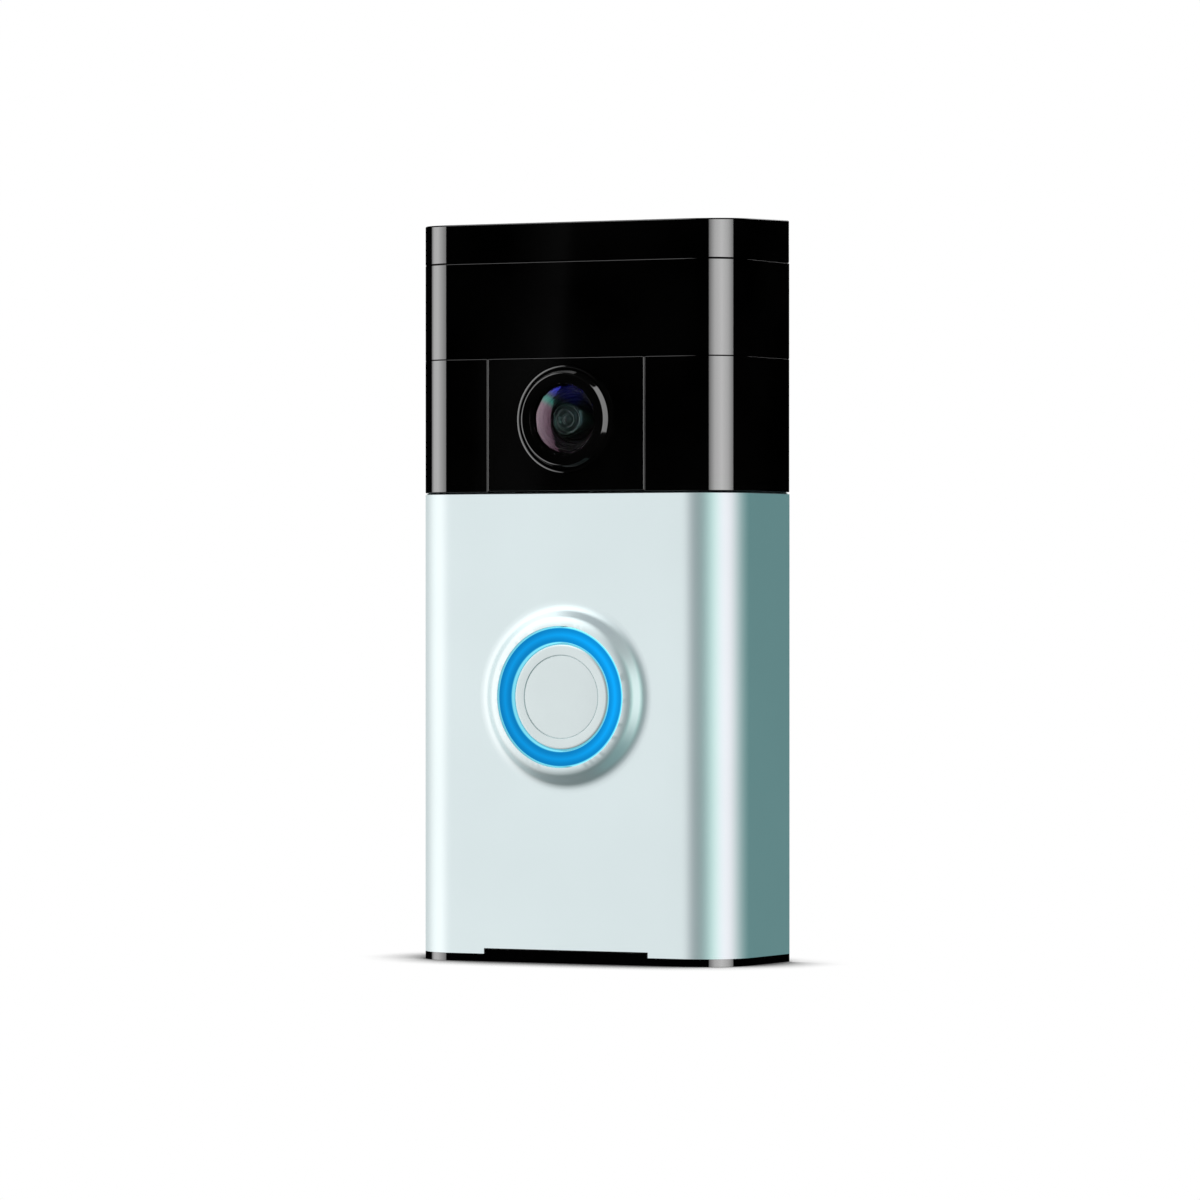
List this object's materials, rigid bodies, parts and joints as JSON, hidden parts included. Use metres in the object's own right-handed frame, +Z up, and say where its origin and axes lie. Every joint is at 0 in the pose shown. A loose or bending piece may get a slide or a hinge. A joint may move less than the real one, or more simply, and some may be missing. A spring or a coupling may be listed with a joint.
{
  "type": "video doorbell",
  "caption": "Slim upright video doorbell with a gloss black camera and sensor head, satin silver faceplate and a raised push button in a blue light ring, on a slide-on wall bracket.",
  "frame": {"origin": "centre of the wall face of the mounting bracket, at half the height of the unit measured to its front top edge", "axes": "+X to the right as a visitor sees it, +Y into the wall, +Z up"},
  "size_m": [0.0618, 0.0261, 0.127],
  "materials": {
    "satin_silver": "satin",
    "gloss_black": "polished",
    "matt_black": "fine texture",
    "lit_blue": "translucent, lit from behind",
    "coated_glass": "coated",
    "optic_glass": "clear",
    "circuit_board": "solder mask",
    "steel": "plated",
    "contact_gold": "plated",
    "foil": "satin",
    "rubber": "matt",
    "orange_plastic": "satin",
    "amber_film": "film"
  },
  "bodies": {
    "bracket": {"mounting_bracket": "matt_black", "terminal_screw_left": "steel", "terminal_screw_right": "steel", "contact_spring_left": "contact_gold", "contact_spring_right": "contact_gold"},
    "doorbell": {"front_faceplate": "satin_silver", "top_cap": "gloss_black", "pir_window": "gloss_black", "camera_panel": "gloss_black", "ir_window_left": "gloss_black", "ir_window_right": "gloss_black", "lens_bezel": "gloss_black", "front_housing": "matt_black", "rear_cover": "matt_black", "lens_barrel": "matt_black", "image_sensor": "matt_black", "camera_connector": "matt_black", "button_switch": "matt_black", "setup_switch": "matt_black", "speaker_driver": "matt_black", "light_ring": "lit_blue", "lens_dome": "coated_glass", "lens_element": "optic_glass", "ir_led_left": "optic_glass", "ir_led_right": "optic_glass", "ring_led_1": "optic_glass", "ring_led_2": "optic_glass", "ring_led_3": "optic_glass", "ring_led_4": "optic_glass", "main_board": "circuit_board", "camera_board": "circuit_board", "pir_board": "circuit_board", "ir_board_left": "circuit_board", "ir_board_right": "circuit_board", "button_board": "circuit_board", "usb_port": "steel", "microphone": "steel", "cover_screw_1": "steel", "cover_screw_2": "steel", "cover_screw_3": "steel", "cover_screw_4": "steel", "security_screw_left": "steel", "security_screw_right": "steel", "contact_pad_left": "contact_gold", "contact_pad_right": "contact_gold", "battery_cell": "foil", "processor_shield": "foil", "pir_sensor_left": "foil", "pir_sensor_centre": "foil", "pir_sensor_right": "foil", "perimeter_seal": "rubber", "battery_pad": "rubber", "speaker_gasket": "rubber", "button_boot": "rubber", "button_flex": "amber_film"},
    "front_button": {"button_cap": "satin_silver"},
    "front_switch": {"button_plunger": "orange_plastic"},
    "setup_key": {"setup_button": "orange_plastic"},
    "setup_key_switch": {"setup_plunger": "matt_black"}
  },
  "joints": [
    {"name": "unit_lift", "type": "slide", "parent": "bracket", "child": "doorbell", "axis": [0, 0, 1], "range_m": [0, 0.005]},
    {"name": "button_press", "type": "slide", "parent": "doorbell", "child": "front_button", "axis": [0, 1, 0], "range_m": [0, 0.0006], "stiffness_N_per_m": 2500, "springref_m": -0.0004},
    {"name": "button_switch_press", "type": "slide", "parent": "doorbell", "child": "front_switch", "axis": [0, 1, 0], "range_m": [0, 0.00036]},
    {"name": "setup_press", "type": "slide", "parent": "doorbell", "child": "setup_key", "axis": [0, -1, 0], "range_m": [0, 0.00045], "stiffness_N_per_m": 2500, "springref_m": -0.0003},
    {"name": "setup_switch_press", "type": "slide", "parent": "doorbell", "child": "setup_key_switch", "axis": [0, -1, 0], "range_m": [0, 0.00027]}
  ],
  "couplings": [
    {"joint": "button_switch_press", "follows": "button_press", "ratio": 0.6},
    {"joint": "setup_switch_press", "follows": "setup_press", "ratio": 0.6}
  ]
}
